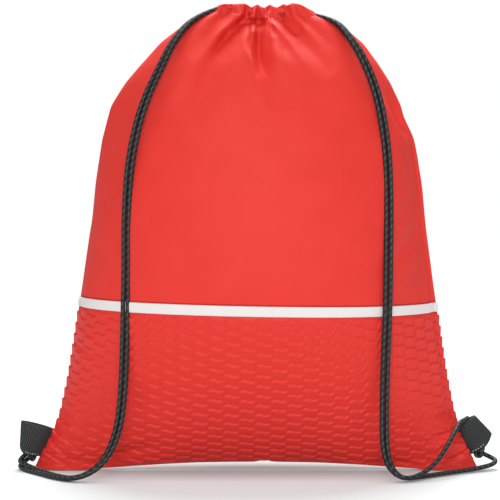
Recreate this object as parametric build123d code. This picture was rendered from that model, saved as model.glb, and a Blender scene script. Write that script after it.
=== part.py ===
# A drawstring backpack that stands upright: two fabric sides sewn into one
# pouch, a gathered mouth, two doubled cords and two ribbon loops. Millimetres,
# +Z up, -Y is the front with the pale tape, origin at floor centre.
from build123d import *
import math
import os

# driving dimensions
WALL = 1.2                     # cloth stand-in, front to back
SEAM = 2.4                     # doubled cloth along each side seam
BASE_WALL = 1.5                # folded cloth that the pouch stands on
ROUNDNESS = 1.24               # 1 would be an ellipse, 2 a sharp lens
POUCH_TOP = 375.0              # where the cloth meets the gathered casing
CASING_TOP = 388.4
MOUTH_X = 8.0                  # the gathered mouth sits off centre
TRIM_LOW = 138.0
TRIM_HIGH = 146.0
TRIM_THICK = 0.7
STITCH_THICK = 0.35
STITCH_GAP = 0.6
STITCH_WIDE = 0.5
CORD_D = 4.0
STRAND_GAP = 0.4               # between the two strands of one strap
BORE_CLEAR = 0.35
BALL_CLEAR = 0.35              # around a strap's upper end, where it turns
START_DEPTH = 4.6              # how far a strap's upper end reaches into the casing
KNOT_R = 4.6
LEFT_LOOP_CORD_TOP = 32.0
RIGHT_LOOP_CORD_TOP = 43.75
RIGHT_LOOP_MOUTH = 46.0        # where the climbing strand dips into the ribbon loop
CASING_HALF = 41.0             # the gathered casing is an oval ring
CASING_DEEP = 17.5
OPEN_HALF = 30.0
OPEN_DEEP = 8.5
RIBBON_WIDE = 25.0
RIBBON_THICK = 0.9
TAB_LEAN = 30.0                # degrees, along the flared bottom corner
TAB_X = 174.3
TAB_Z = 23.5
LOOP_OUTLINE = [(0, 0.95), (4.5, 5.4), (11, 7.2), (18, 6.2), (22.4, 2.6), (23.5, 0)]
TACK_COUNT = 7
TACK_STEP = 3.2

CORD_R = CORD_D / 2
SIDE_STEP = CORD_R + STRAND_GAP / 2
BALL_R = SIDE_STEP + CORD_R + 0.3

# height, half width and half depth of the standing pouch
PROFILE = [
    (0, 183, 22),
    (12, 179, 34),
    (25, 171, 43),
    (45, 162.5, 53),
    (80, 154.8, 64),
    (120, 148.5, 72),
    (160, 142.5, 76),
    (200, 137, 77),
    (240, 133, 74),
    (275, 127.5, 66),
    (303, 120, 57),
    (322, 109, 49),
    (338, 97, 42),
    (353, 83.5, 35),
    (364, 69, 28),
    (371, 54, 22),
    (POUCH_TOP, 43, 18.5),
]

# both cords leave the casing at its ends and are knotted below a ribbon loop
LEFT_EXIT = Vector(-36, 0, 384.2)
RIGHT_EXIT = Vector(52, 0, 378.8)
LEFT_KNOT = Vector(-188, 0, 10.2)
RIGHT_KNOT = Vector(188, 0, 10.2)


def mouth_shift(z):
    """How far the section at height z sits to the right."""
    start = 300.0
    if z <= start:
        return 0.0
    return MOUTH_X * ((z - start) / (POUCH_TOP - start)) ** 1.3


def half_section(z, wide, deep, side):
    """Half of a lens-shaped slice, from seam to seam, on one side of y = 0."""
    count = 12
    shift = mouth_shift(z)
    points = []
    for step in range(count + 1):
        turn = math.radians(-90 + 180 * step / count)
        bulge = max(math.cos(turn), 0.0) ** ROUNDNESS
        points.append((shift + wide * math.sin(turn), side * deep * bulge, z))
    curve = Spline(*points)
    chord = Line(points[-1], points[0])
    return Face(Wire([curve, chord]))


def half_body(side, grow=0.0, wall=0.0, seam=0.0, floor=0.0):
    """A filled half of the pouch, grown or shrunk, as one smooth loft."""
    sections = []
    for z, wide, deep in PROFILE:
        if z < floor:
            z = floor
        sections.append(half_section(z, wide + grow - seam, deep + grow - wall, side))
    return loft(sections)


def slab(low, high):
    """Everything between two heights."""
    return Pos(0, 0, (low + high) / 2) * Box(600, 600, high - low)


def half_space(side):
    """Everything in front of (side -1) or behind (side 1) the seam plane."""
    return Pos(0, side * 300, 200) * Box(600, 600, 600)


def tube(points, name, radius=CORD_R):
    """A round cord along straight runs joined by the largest tangent arcs."""
    vectors = [Vector(*p) if not isinstance(p, Vector) else p for p in points]
    radii = []
    for before, here, after in zip(vectors, vectors[1:], vectors[2:]):
        turn = (here - before).get_angle(after - here)
        run = min((here - before).length, (after - here).length)
        radii.append(0.45 * run / math.tan(math.radians(turn / 2)))
    path = FilletPolyline(*vectors, radius=radii)
    profile = Plane(origin=path @ 0, z_dir=path % 0) * Circle(radius)
    solid = sweep(profile, path=path)
    share = solid.volume / (math.pi * radius**2 * path.length)
    print(name, "length", round(path.length, 1), "volume share", round(share, 3))
    print(name, "radii", [round(r, 1) for r in radii])
    return solid


def beside(centres, sides, sign):
    """Shifts a doubled cord's middle line to one of its two strands."""
    vectors = [Vector(*p) for p in centres]
    shifted = []
    for index, here in enumerate(vectors):
        before = vectors[max(index - 1, 0)]
        after = vectors[min(index + 1, len(vectors) - 1)]
        along = (after - before).normalized()
        side = Vector(*sides[index])
        side = (side - along * side.dot(along)).normalized()
        shifted.append(here + side * (sign * SIDE_STEP))
    return shifted


def axis_point(top, bottom, height):
    """The point at a height on the line that a strap turns about."""
    share = (top.Z - height) / (top.Z - bottom.Z)
    return top + (bottom - top) * share


def ball_start(strand, exit_point, outward):
    """Rounds a strand's upper end to a ball, so that it can turn in place."""
    inner_half = Pos(exit_point - Vector(outward * 10, 0, 0)) * Box(20, 30, 30)
    return strand - (inner_half - Pos(exit_point) * Sphere(BALL_R))


# ---- the cloth pouch

front_filled = half_body(-1)
back_filled = half_body(1)
front_hollow = half_body(-1, wall=WALL, seam=SEAM, floor=BASE_WALL)
back_hollow = half_body(1, wall=WALL, seam=SEAM, floor=BASE_WALL)
front_shell = front_filled - front_hollow
back_panel = back_filled - back_hollow
front_lower_panel = front_shell & slab(-1, TRIM_LOW)
front_upper_panel = front_shell & slab(TRIM_LOW, POUCH_TOP + 1)

# ---- the pale tape over the joint of the two front cloths, and its thread

tape_body = half_body(-1, grow=TRIM_THICK)
trim_tape = (tape_body & slab(TRIM_LOW, TRIM_HIGH)) - front_filled

# the lockstitch above the tape, as one thin line of thread
thread_body = half_body(-1, grow=STITCH_THICK)
thread_low = TRIM_HIGH + STITCH_GAP
trim_stitching = (thread_body & slab(thread_low, thread_low + STITCH_WIDE)) - front_filled

# ---- the gathered casing around the mouth, and the cords inside it

casing_outline = Ellipse(CASING_HALF, CASING_DEEP) - Ellipse(OPEN_HALF, OPEN_DEEP)
casing_ring = Pos(MOUTH_X, 0, POUCH_TOP) * extrude(casing_outline, CASING_TOP - POUCH_TOP)


def channel_route(height, direction):
    """Out of one end of the casing, round the mouth and back beside itself."""
    half = [(41.5, 2.1), (31, 6.2), (17, 10.8), (0, 12.9), (-17, 11.6), (-29, 8.0)]
    far = [(-36, 3.6), (-36, -3.6)]
    plan = half + far + [(x, -y) for x, y in reversed(half)]
    return [(MOUTH_X + direction * x, y, height) for x, y in plan]


left_channel = tube(channel_route(LEFT_EXIT.Z, -1), "left_channel_cord")
right_channel = tube(channel_route(RIGHT_EXIT.Z, 1), "right_channel_cord")
bore_radius = CORD_R + BORE_CLEAR
left_bore = tube(channel_route(LEFT_EXIT.Z, -1), "left_bore", bore_radius)
right_bore = tube(channel_route(RIGHT_EXIT.Z, 1), "right_bore", bore_radius)
left_room = Pos(LEFT_EXIT) * Sphere(BALL_R + BALL_CLEAR)
right_room = Pos(RIGHT_EXIT) * Sphere(BALL_R + BALL_CLEAR)
left_channel_cord = left_channel - left_room
right_channel_cord = right_channel - right_room
casing = casing_ring - left_bore - right_bore - left_room - right_room
front_casing = casing & half_space(-1)
back_casing = casing & half_space(1)

# ---- the left strap: both strands hang down the front, lie on the floor and
# curl back into the knot below the left ribbon loop

left_start = LEFT_EXIT - (Vector(-49, -4, 377.5) - LEFT_EXIT).normalized() * START_DEPTH
left_centres = [
    tuple(left_start),
    (-49, -4, 377.5),
    (-66, -19.5, 359),
    (-77, -33, 336),
    (-92, -46, 303),
    (-102, -47.5, 261),
    (-105.2, -48.5, 214),
    (-105, -51.5, 168),
    (-106.2, -51.5, 120),
    (-107.6, -51, 76),
    (-111, -54.5, 42),
    (-120, -62, 19),
    (-133, -68.5, 7),
    (-148, -70, 2.3),
    (-163, -55, 2.2),
    (-177, -34, 2.2),
    (-191, -17, 3.0),
    (-198.2, -10.5, 4.4),
    (-201.8, -4, 5.3),
    (-201.2, 1.3, 6.5),
    (-197.6, 3.3, 7.7),
    (-193.5, 1.6, 8.8),
]
left_sides = [
    (0, 1, 0),
    (-0.2, 0.9, 0),
    (-0.6, 0.7, 0),
    (-0.85, 0.45, 0),
    (-0.95, 0.3, 0),
    (-1, 0.15, 0),
    (-1, 0.15, 0),
    (-1, 0.15, 0),
    (-1, 0.15, 0),
    (-1, 0.2, 0),
    (-1, 0.4, 0),
    (-0.7, 0.8, 0.2),
    (-0.3, 0.95, 0.1),
    (0, 1, 0),
    (0.5, 0.9, 0),
    (0.7, 0.7, 0.2),
    (0.3, 0.4, 0.8),
    (0, 0.1, 1),
    (0, 0, 1),
    (0, 0, 1),
    (0, 0, 1),
    (0, 0, 1),
]
left_outer = tube(beside(left_centres, left_sides, 1), "left_strap_outer_strand")
left_inner = tube(beside(left_centres, left_sides, -1), "left_strap_inner_strand")
left_strap_outer_strand = ball_start(left_outer, LEFT_EXIT, -1)
left_strap_inner_strand = ball_start(left_inner, LEFT_EXIT, -1)

# ---- the right strap: the strands part on the floor; one climbs over the
# corner into the ribbon loop, the other runs along the floor to the knot

right_start = RIGHT_EXIT - (Vector(64, -5.5, 374.5) - RIGHT_EXIT).normalized() * START_DEPTH
right_centres = [
    tuple(right_start),
    (64, -5.5, 374.5),
    (76, -17, 360.5),
    (88, -28.5, 341),
    (99.5, -36, 311),
    (106.2, -39, 272),
    (107.8, -46, 228),
    (107.2, -51.5, 183),
    (106.6, -53.5, 138),
    (104.8, -52.5, 90),
    (104, -54, 50),
    (104.3, -58, 25),
    (108, -65, 10.5),
]
right_sides = [
    (0, 1, 0),
    (0.2, 0.9, 0),
    (0.6, 0.7, 0),
    (0.85, 0.45, 0),
    (0.95, 0.3, 0),
    (1, 0.15, 0),
    (1, 0.15, 0),
    (1, 0.15, 0),
    (1, 0.15, 0),
    (1, 0.15, 0),
    (1, 0.2, 0),
    (1, 0.4, 0),
    (0.7, 0.8, 0.2),
]
loop_mouth = axis_point(RIGHT_EXIT, RIGHT_KNOT, RIGHT_LOOP_MOUTH)
climbing_end = [
    (118, -73.5, 2.6),
    (133, -65, 4.5),
    (147, -55, 13.5),
    (157.5, -42, 27),
    (164.5, -28, 38.5),
    (167.5, -15, 44),
    tuple(loop_mouth),
]
lying_end = [
    (118, -69, 2.2),
    (133, -58, 2.2),
    (149, -43.5, 2.2),
    (166, -29, 2.2),
    (182, -18, 2.6),
    (194, -11, 4.2),
    (199, -6, 5.6),
    (200.2, -1.2, 7),
    (198.8, 2.6, 8),
    (195.4, 3.9, 9),
    (192.6, 2.2, 9.6),
]
right_inner = tube(beside(right_centres, right_sides, -1) + climbing_end, "right_strap_inner_strand")
right_outer = tube(beside(right_centres, right_sides, 1) + lying_end, "right_strap_outer_strand")
right_strap_inner_strand = ball_start(right_inner, RIGHT_EXIT, 1) + Pos(loop_mouth) * Sphere(CORD_R)
right_strap_outer_strand = ball_start(right_outer, RIGHT_EXIT, 1)

# ---- knots, and the cord that each knot holds inside its ribbon loop

left_cord_knot = Pos(LEFT_KNOT) * Sphere(KNOT_R)
right_cord_knot = Pos(RIGHT_KNOT) * Sphere(KNOT_R)


def loop_run(top, bottom, low, high, knot):
    """A straight piece of cord on a strap's turning line, above its knot."""
    start = axis_point(top, bottom, low)
    end = axis_point(top, bottom, high)
    profile = Plane(origin=start, z_dir=end - start) * Circle(CORD_R)
    return extrude(profile, (end - start).length) - knot


left_loop_cord = loop_run(LEFT_EXIT, LEFT_KNOT, LEFT_KNOT.Z, LEFT_LOOP_CORD_TOP, left_cord_knot)
right_loop_cord = loop_run(
    RIGHT_EXIT, RIGHT_KNOT, RIGHT_KNOT.Z, RIGHT_LOOP_CORD_TOP, right_cord_knot
)

# ---- the ribbon loops on the side seams, and their tacking stitches


def ribbon_loop(outward):
    """A folded ribbon: both ends at the seam, a round eye further out."""
    upper = [(outward * x, y) for x, y in LOOP_OUTLINE]
    lower = [(x, -y) for x, y in reversed(upper[:-1])]
    outline = Spline(*(upper + lower))
    seam_line = Line(lower[-1], upper[0])
    outer = Face(Wire([outline, seam_line]))
    eye_points = []
    for x, y in LOOP_OUTLINE[1:-1]:
        eye_points.append((outward * (x - 0.1), y - RIBBON_THICK * 1.15))
    tip = (outward * (LOOP_OUTLINE[-1][0] - RIBBON_THICK), 0)
    neck = (outward * 1.6, 0)
    far_half = [(x, -y) for x, y in reversed(eye_points)]
    eye = Face(Wire([Spline(*([neck] + eye_points + [tip] + far_half), periodic=True)]))
    flat = extrude(outer - eye, RIBBON_WIDE, dir=(0, 0, 1))
    centred = Pos(0, 0, -RIBBON_WIDE / 2) * flat
    return Pos(outward * TAB_X, 0, TAB_Z) * (Rot(0, -outward * TAB_LEAN, 0) * centred)


def tacking(outward):
    """A short row of thread bars across the front of the loop's neck."""
    bars = []
    for index in range(TACK_COUNT):
        z = (index - (TACK_COUNT - 1) / 2) * TACK_STEP
        bar = Pos(outward * 0.9, -2.02, z) * Box(1.4, 0.5, 1.6)
        bars.append(bar)
    return Pos(outward * TAB_X, 0, TAB_Z) * (Rot(0, -outward * TAB_LEAN, 0) * (Part() + bars))


left_tab_ribbon = ribbon_loop(-1)
right_tab_ribbon = ribbon_loop(1)
left_tab_stitching = tacking(-1) - left_tab_ribbon
right_tab_stitching = tacking(1) - right_tab_ribbon

NODES = {
    "front_upper_panel": front_upper_panel,
    "front_lower_panel": front_lower_panel,
    "back_panel": back_panel,
    "trim_tape": trim_tape,
    "trim_stitching": trim_stitching,
    "front_casing": front_casing,
    "back_casing": back_casing,
    "left_channel_cord": left_channel_cord,
    "right_channel_cord": right_channel_cord,
    "left_strap_outer_strand": left_strap_outer_strand,
    "left_strap_inner_strand": left_strap_inner_strand,
    "right_strap_outer_strand": right_strap_outer_strand,
    "right_strap_inner_strand": right_strap_inner_strand,
    "left_cord_knot": left_cord_knot,
    "right_cord_knot": right_cord_knot,
    "left_loop_cord": left_loop_cord,
    "right_loop_cord": right_loop_cord,
    "left_tab_ribbon": left_tab_ribbon,
    "right_tab_ribbon": right_tab_ribbon,
    "left_tab_stitching": left_tab_stitching,
    "right_tab_stitching": right_tab_stitching,
}

os.makedirs("parts", exist_ok=True)
for name, shape in NODES.items():
    export_step(shape, "parts/" + name + ".step")
    print(name, "solids", len(shape.solids()), "volume", round(shape.volume, 1))
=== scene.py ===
# The look of a drawstring backpack: a stuffed cloth pouch with a gathered
# mouth, two doubled braided cords and two ribbon loops, over its CAD frame.
# Metres, +Z up, -Y is the front.
import math

import bpy
import numpy as np
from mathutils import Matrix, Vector


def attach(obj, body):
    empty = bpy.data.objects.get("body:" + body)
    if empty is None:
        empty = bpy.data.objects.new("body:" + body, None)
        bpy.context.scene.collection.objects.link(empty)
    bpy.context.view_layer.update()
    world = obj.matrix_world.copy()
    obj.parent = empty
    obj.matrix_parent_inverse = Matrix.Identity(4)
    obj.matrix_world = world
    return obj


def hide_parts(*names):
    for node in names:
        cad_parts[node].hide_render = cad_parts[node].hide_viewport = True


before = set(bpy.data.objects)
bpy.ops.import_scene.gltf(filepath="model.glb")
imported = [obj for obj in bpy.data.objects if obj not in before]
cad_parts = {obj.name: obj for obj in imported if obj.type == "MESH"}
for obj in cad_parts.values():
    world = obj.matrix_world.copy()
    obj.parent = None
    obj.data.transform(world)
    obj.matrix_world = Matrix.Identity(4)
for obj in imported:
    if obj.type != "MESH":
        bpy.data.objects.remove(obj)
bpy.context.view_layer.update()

# driving dimensions
COLUMNS = 92                    # cloth grid across one side of the pouch
ROWS = 104                      # and from the bottom seam to the casing
TALL = 0.412                    # flat height of one side, bottom seam to casing
FLAT_WIDE = 0.366               # flat width of one side, for the scale of the weave
POUCH_TOP = 0.375               # height of the casing's foot
CLOTH = 0.0005                  # thickness shown
CORD_R = 0.002
TIGHT_R = 0.0019                # cord radius in the casing and the knots
SIDE_STEP = 0.00205             # half the distance between a strap's strands
ROUNDNESS = 1.24                # power of the cosine round a slice
SAMPLES = 400                   # fine points round a slice
MOUTH_X = 0.008                 # how far the mouth sits to the right
SHIFT_FROM = 0.300              # height where the pouch starts to lean
SHIFT_OVER = 0.075
MOUTH_HALF = 0.044              # half the width of the gathered mouth
CORD_ROOM = 0.0078              # half the depth that the casing's cords need
GATHER_FROM = 0.330             # height where the gathers begin
SWELL = {-1: 0.0025, 1: -0.0045}  # fuller front, flatter back below the casing
SWELL_OVER = 0.030

# the bottom seam's arch, and how the cloth curls round it
FOOT_ROWS = 18
FOOT_ARCH = 0.0062
ARCH_HALF = 0.145
FOOT_NOTCH = 0.0022
NOTCH_X = 0.007
NOTCH_WIDE = 0.004
CORNER_LIFT = 0.0012
CORNER_FROM = 0.165
CORNER_OVER = 0.020
FOOT_FORWARD = 0.010
BACK_SAG = 0.010
SAG_ROWS = 12
SAG_HALF = 0.15

# the lift of both ends of the mouth towards the cords' exits
TILT_FROM = 0.340
LEFT_TILT = 0.0052
RIGHT_TILT = 0.0022

# relaxing the cloth: the stuffing's push at each step, how far the cloth may
# leave the outline, its unevenness at the start, and the rows below the casing
# where the smooth shoulder takes over
RELAX_STEPS = 420
STUFFING = 1.0e-5
DAMPING = 0.92
SLACK = 0.003
RIPPLE = 0.0006
SEED = 5
DRAWN_ROWS = 34
DRAWN_OVER = 18

# height, half width and half depth of the standing pouch
PROFILE = np.array([
    (0.000, 0.185, 0.004), (0.012, 0.1797, 0.018), (0.025, 0.171, 0.03), (0.045, 0.1625, 0.044),
    (0.08, 0.1548, 0.06), (0.12, 0.1485, 0.071), (0.16, 0.1425, 0.076), (0.2, 0.137, 0.077),
    (0.24, 0.133, 0.074), (0.275, 0.1275, 0.066), (0.303, 0.12, 0.057), (0.322, 0.1095, 0.049),
    (0.338, 0.0975, 0.0405), (0.353, 0.084, 0.0295), (0.364, 0.069, 0.0228),
    (0.371, 0.055, 0.0192), (0.375, 0.044, 0.0175),
])
# how much more cloth there is across than the outline needs, by share of the height
FULLNESS = np.array([(0.0, 0.01), (0.3, 0.015), (0.7, 0.035), (0.85, 0.07), (1.0, 0.16)])

# creases at the gathered mouth: where along x, how deep, how wide
FRONT_CREASES = [
    (-0.0235, 0.0026, 0.0032), (-0.0055, 0.0066, 0.003), (0.0098, 0.0062, 0.0024),
    (0.024, 0.0034, 0.0034), (0.0365, 0.0022, 0.003),
]
BACK_CREASES = [
    (-0.02, 0.005, 0.003), (-0.006, 0.0036, 0.0034), (0.006, 0.0064, 0.0028),
    (0.019, 0.004, 0.0032), (0.033, 0.0056, 0.003),
]
# folds that run out from the mouth: from x, z, to x, z, how deep, how wide
FRONT_FOLDS = [
    (0.001, 0.381, 0.0024, 0.333, 0.011, 0.0032),
    (0.0, 0.3722, -0.0185, 0.3712, 0.009, 0.003),
    (-0.004, 0.384, -0.013, 0.37, 0.005, 0.002), (-0.012, 0.372, -0.033, 0.348, 0.0085, 0.0045),
    (-0.03, 0.352, -0.06, 0.304, 0.0056, 0.0062),
    (0.0105, 0.384, 0.0138, 0.362, 0.0095, 0.0025), (0.002, 0.34, 0.017, 0.304, 0.006, 0.0052),
    (0.018, 0.372, 0.033, 0.36, 0.0062, 0.0042), (0.025, 0.37, 0.057, 0.333, 0.007, 0.006),
    (-0.024, 0.382, -0.052, 0.348, 0.0062, 0.0058), (0.036, 0.378, 0.064, 0.35, 0.0046, 0.0044),
]
# puckers that run from the ribbon loops into the embossed cloth
PUCKERS = [
    (-0.169, 0.033, -0.15, 0.0215, 0.0022, 0.0018),
    (-0.1725, 0.026, -0.156, 0.01, 0.002, 0.0018),
    (-0.166, 0.042, -0.14, 0.034, 0.0014, 0.0022),
    (-0.148, 0.106, -0.116, 0.086, 0.0016, 0.003),
    (-0.176, 0.015, -0.16, 0.006, 0.0016, 0.0016), (0.165, 0.035, 0.14, 0.026, 0.0022, 0.002),
    (0.169, 0.028, 0.148, 0.016, 0.0018, 0.0018), (0.174, 0.016, 0.156, 0.006, 0.0018, 0.0016),
    (0.16, 0.048, 0.135, 0.044, 0.0012, 0.0024),
]
BACK_FOLDS = [
    (0.006, 0.376, 0.01, 0.33, 0.0045, 0.0034), (-0.021, 0.374, -0.052, 0.315, 0.0032, 0.006),
    (0.033, 0.374, 0.062, 0.322, 0.0034, 0.006), (-0.007, 0.372, -0.018, 0.33, 0.0025, 0.005),
    (0.019, 0.372, 0.033, 0.34, 0.0025, 0.004),
]


def mouth_shift(z):
    """How far the slice at height z sits to the right."""
    return MOUTH_X * np.clip((z - SHIFT_FROM) / SHIFT_OVER, 0, None) ** 1.3


# ---- the pouch's cloth, relaxed from its flat size under a light stuffing


def distances(points):
    """How far along a line of points each of them lies."""
    steps = np.sqrt((np.diff(points, axis=0) ** 2).sum(1))
    return np.concatenate([[0], np.cumsum(steps)])


def points_at(places, along, points):
    """The points at given distances along a line."""
    return np.stack([np.interp(places, along, points[:, k]) for k in range(points.shape[1])], 1)


def arc_samples(points, shares):
    """Points at given shares of the way along a line of points."""
    along = distances(points)
    return points_at(shares, along / along[-1], points)


def unit(rows):
    """Directions scaled to length one."""
    return rows / np.sqrt((rows**2).sum(-1))[..., None]


def crease_depth(x, creases):
    """How far gathers pull the cloth inwards at x."""
    total = np.zeros_like(x)
    for middle, depth, wide in creases:
        total += depth * np.exp(-np.abs(x - middle) / wide)
    return total


def tilt_top(grid):
    """Lifts both ends of the mouth, where the cords leave it."""
    high = np.clip((grid[..., 2] - TILT_FROM) / (POUCH_TOP - TILT_FROM), 0, 1)
    left = np.clip((0.004 - grid[..., 0]) / 0.036, 0, 1)
    right = np.clip((grid[..., 0] - 0.030) / 0.025, 0, 1)
    grid[..., 2] += high * (LEFT_TILT * left + RIGHT_TILT * right)


def shape_foot(grid, side):
    """Arches the bottom seam, and lays the back's cloth on the floor behind it."""
    x = grid[0, :, 0]
    corner = np.clip((np.abs(x) - CORNER_FROM) / CORNER_OVER, 0, 1) ** 2
    forward = FOOT_FORWARD * (1 - corner) * np.clip((np.abs(x) - 0.02) / 0.09, 0.35, 1)
    grid[0, :, 1] = -forward
    lift = FOOT_ARCH * np.clip(1 - (x / ARCH_HALF) ** 2, 0, 1) ** 0.8
    notch = FOOT_NOTCH * np.exp(-((x - NOTCH_X) / NOTCH_WIDE) ** 2)
    middle = np.clip(1 - np.abs(x) / SAG_HALF, 0, 1) ** 0.5
    for j in range(FOOT_ROWS):
        fade = (1 - j / FOOT_ROWS) ** 2
        grid[j, :, 2] += (lift + notch + CORNER_LIFT * corner) * fade
        if j and side < 0:
            grid[j, :, 1] = np.minimum(grid[j, :, 1], -forward * fade)
        if j and side > 0:
            sag = BACK_SAG * math.sin(math.pi * min(j / SAG_ROWS, 1)) * middle
            grid[j, :, 2] = np.maximum(grid[j, :, 2] - sag, CLOTH)


def pouch_start(side, creases):
    """The cloth grid before it is relaxed, seam to seam and bottom to casing."""
    shares = np.linspace(0, 1, ROWS + 1)
    heights = np.linspace(0, POUCH_TOP, SAMPLES)
    seam = np.stack([np.interp(heights, PROFILE[:, 0], PROFILE[:, 1]), heights], 1)
    rows = arc_samples(seam, shares)
    grid = np.zeros((ROWS + 1, COLUMNS + 1, 3))
    turn = np.linspace(-math.pi / 2, math.pi / 2, SAMPLES)
    for j, (wide, z) in enumerate(rows):
        deep = np.interp(z, PROFILE[:, 0], PROFILE[:, 2])
        x = mouth_shift(z) + wide * np.sin(turn)
        fade = np.clip((z - GATHER_FROM) / (POUCH_TOP - GATHER_FROM), 0, 1) ** 1.5
        pulled = fade * crease_depth(x, creases) * np.cos(turn) ** 0.5
        y = deep * np.clip(np.cos(turn), 0, 1) ** ROUNDNESS
        below = np.clip((POUCH_TOP - z) / SWELL_OVER, 0, 1)
        y += SWELL[side] * below * np.cos(turn) ** 0.5 - pulled
        line = arc_samples(np.stack([x, y], 1), np.linspace(0, 1, COLUMNS + 1))
        grid[j, :, 0] = line[:, 0]
        grid[j, :, 1] = side * line[:, 1]
        grid[j, :, 2] = z
    tilt_top(grid)
    shape_foot(grid, side)
    return grid


class Cloth:
    """A grid of cloth points that keep their flat distances."""

    def __init__(self, start, side):
        self.points = start.copy()
        self.side = side
        free = np.ones(start.shape[:2])
        free[0] = free[-1] = 0
        free[:, 0] = free[:, -1] = 0
        self.free = free
        arcs = np.sqrt((np.diff(start, axis=1) ** 2).sum(-1)).sum(1)
        shares = np.linspace(0, 1, ROWS + 1)
        fuller = 1 + np.interp(shares, FULLNESS[:, 0], FULLNESS[:, 1])
        self.du = arcs * fuller / COLUMNS
        self.dv = TALL / ROWS

    def pull(self, first, second, rest, stretch, squeeze):
        """Moves pairs of points towards their flat distance."""
        gap = self.points[second] - self.points[first]
        length = np.sqrt((gap * gap).sum(-1)) + 1e-12
        off = (length - rest) / length
        gain = np.where(off > 0, stretch, squeeze)
        weight_1 = self.free[first]
        weight_2 = self.free[second]
        total = weight_1 + weight_2
        total[total == 0] = 1
        move = (off * gain / total)[..., None] * gap
        self.points[first] += move * weight_1[..., None]
        self.points[second] -= move * weight_2[..., None]

    def threads(self, step, stretch, squeeze):
        """Pulls along both thread directions, over a number of grid steps."""
        for offset in range(2 * step):
            i = np.arange(offset, COLUMNS + 1 - step, 2 * step)
            if len(i):
                rest = step * np.repeat(self.du[:, None], len(i), 1)
                every = (slice(None), i)
                self.pull(every, (slice(None), i + step), rest, stretch, squeeze)
            j = np.arange(offset, ROWS + 1 - step, 2 * step)
            if len(j):
                rest = step * self.dv
                self.pull((j, slice(None)), (j + step, slice(None)), rest, stretch, squeeze)

    def shear(self, stretch, squeeze):
        """Pulls along both diagonals of every cell."""
        for offset in (0, 1):
            j = np.arange(offset, ROWS, 2)
            i = np.arange(COLUMNS)
            rest = np.hypot(self.du[j], self.dv)[:, None]
            self.pull(np.ix_(j, i), np.ix_(j + 1, i + 1), rest, stretch, squeeze)
            self.pull(np.ix_(j, i + 1), np.ix_(j + 1, i), rest, stretch, squeeze)

    def cap(self, room):
        """Keeps the cloth within a little room of the pouch's outline."""
        p = self.points
        wide = np.interp(p[..., 2], PROFILE[:, 0], PROFILE[:, 1])
        deep = np.interp(p[..., 2], PROFILE[:, 0], PROFILE[:, 2])
        across = np.clip((p[..., 0] - mouth_shift(p[..., 2])) / wide, -1, 1)
        tight = np.clip((POUCH_TOP - p[..., 2]) / 0.030, 0.15, 1)
        limit = deep * (1 - across**2) ** 0.58 + room * tight
        limit = np.maximum(limit, 0.0125 * np.clip(1 - p[..., 2] / 0.03, 0, 1))
        held = np.where(self.side * p[..., 1] > limit, self.side * limit, p[..., 1])
        p[1:, :, 1] = held[1:]
        p[..., 2] = np.maximum(p[..., 2], CLOTH)

    def relax(self, steps, pressure):
        """Lets the stuffing press the cloth out until it hangs together."""
        speed = np.zeros_like(self.points)
        for _ in range(steps):
            across = np.gradient(self.points, axis=1)
            up = np.gradient(self.points, axis=0)
            out = np.cross(across, up) * -self.side
            out /= np.sqrt((out**2).sum(-1))[..., None] + 1e-12
            before = self.points.copy()
            speed = (speed * DAMPING + out * pressure) * self.free[..., None]
            self.points += speed
            for _ in range(3):
                self.threads(1, 0.9, 0.25)
                self.shear(0.4, 0.1)
                self.threads(2, 0.1, 0.12)
                self.threads(4, 0.0, 0.06)
            self.cap(SLACK)
            self.points[0] = before[0]
            speed = self.points - before
        return self.points


def drawn_in(grid, start):
    """Hands the relaxed cloth over to the smooth drawn-in shoulder below the casing."""
    share = np.clip((np.arange(ROWS + 1) - (ROWS - DRAWN_ROWS)) / DRAWN_OVER, 0, 1)
    share = (share * share * (3 - 2 * share))[:, None, None]
    return grid + (start - grid) * share


def cord_room(x):
    """Half the depth that the cords inside the casing need."""
    return CORD_ROOM * np.sqrt(np.clip(1 - ((x - MOUTH_X) / MOUTH_HALF) ** 2, 0, 1))


def press_folds(grid, side, hold):
    """Presses valleys into the cloth along slanting lines, less where hold is low.

    A valley is steep on one side and gentle on the other, with low ridges beside it.
    """
    folds = FRONT_FOLDS + PUCKERS if side < 0 else BACK_FOLDS
    for x1, z1, x2, z2, depth, wide in folds:
        run = np.array([x2 - x1, z2 - z1])
        length = math.hypot(*run)
        run /= length
        dx = grid[..., 0] - x1
        dz = grid[..., 2] - z1
        along = (dx * run[0] + dz * run[1]) / length
        aside = dx * run[1] - dz * run[0]
        fade = np.clip(1.15 - along, 0, 1) ** 0.8 * np.clip((along + 0.6) / 0.5, 0, 1)
        spread = wide * (1 + 0.8 * np.clip(along, 0, 1))
        spread = spread * np.where(aside > 0, 0.5, 1.3)
        valley = np.exp(-np.abs(aside / spread) ** 1.5)
        ridges = 0.35 * np.exp(-((np.abs(aside) - 2.2 * spread) / spread) ** 2)
        grid[..., 1] -= side * depth * (valley - ridges) * fade * hold
    near = np.clip((grid[..., 2] - 0.330) / 0.038, 0, 1)
    grid[..., 1] = side * np.maximum(side * grid[..., 1], cord_room(grid[..., 0]) * near)
    return grid


def make_pouch_side(side, creases):
    """One side's cloth: side is -1 for the front and 1 for the back."""
    start = pouch_start(side, creases)
    ripple = np.random.default_rng(SEED + side).standard_normal(start.shape[:2])
    cloth = Cloth(start, side)
    cloth.points[..., 1] += side * RIPPLE * ripple * cloth.free
    grid = cloth.relax(RELAX_STEPS, STUFFING)
    return drawn_in(grid, start)


front_grid = make_pouch_side(-1, FRONT_CREASES)
back_grid = make_pouch_side(1, BACK_CREASES)

# ---- meshes made from grids of points


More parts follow.
